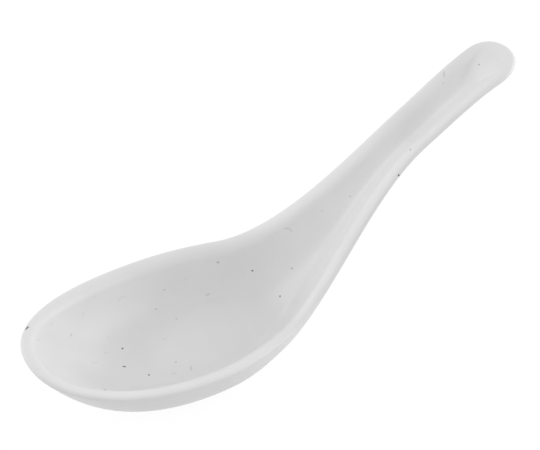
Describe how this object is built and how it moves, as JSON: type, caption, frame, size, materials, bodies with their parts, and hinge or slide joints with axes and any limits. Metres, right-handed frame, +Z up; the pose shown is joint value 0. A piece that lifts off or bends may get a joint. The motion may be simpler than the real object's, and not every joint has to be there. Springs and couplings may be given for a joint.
{
  "type": "chinese soup spoon",
  "caption": "Glazed white stoneware soup spoon with a deep oval bowl, flat floor, foot ring and a steep curved handle with a shallow gutter.",
  "frame": {"origin": "on the table under the middle of the spoon's length and width", "axes": "+X from the bowl's tip towards the handle's end, +Y across the spoon, +Z up from the table"},
  "size_m": [0.134, 0.0432, 0.0605],
  "materials": {
    "fired_clay": "matte",
    "white_glaze": "gloss"
  },
  "bodies": {
    "root": {"clay_body": "fired_clay", "glaze_coat": "white_glaze", "foot_well_glaze": "white_glaze"}
  },
  "joints": []
}
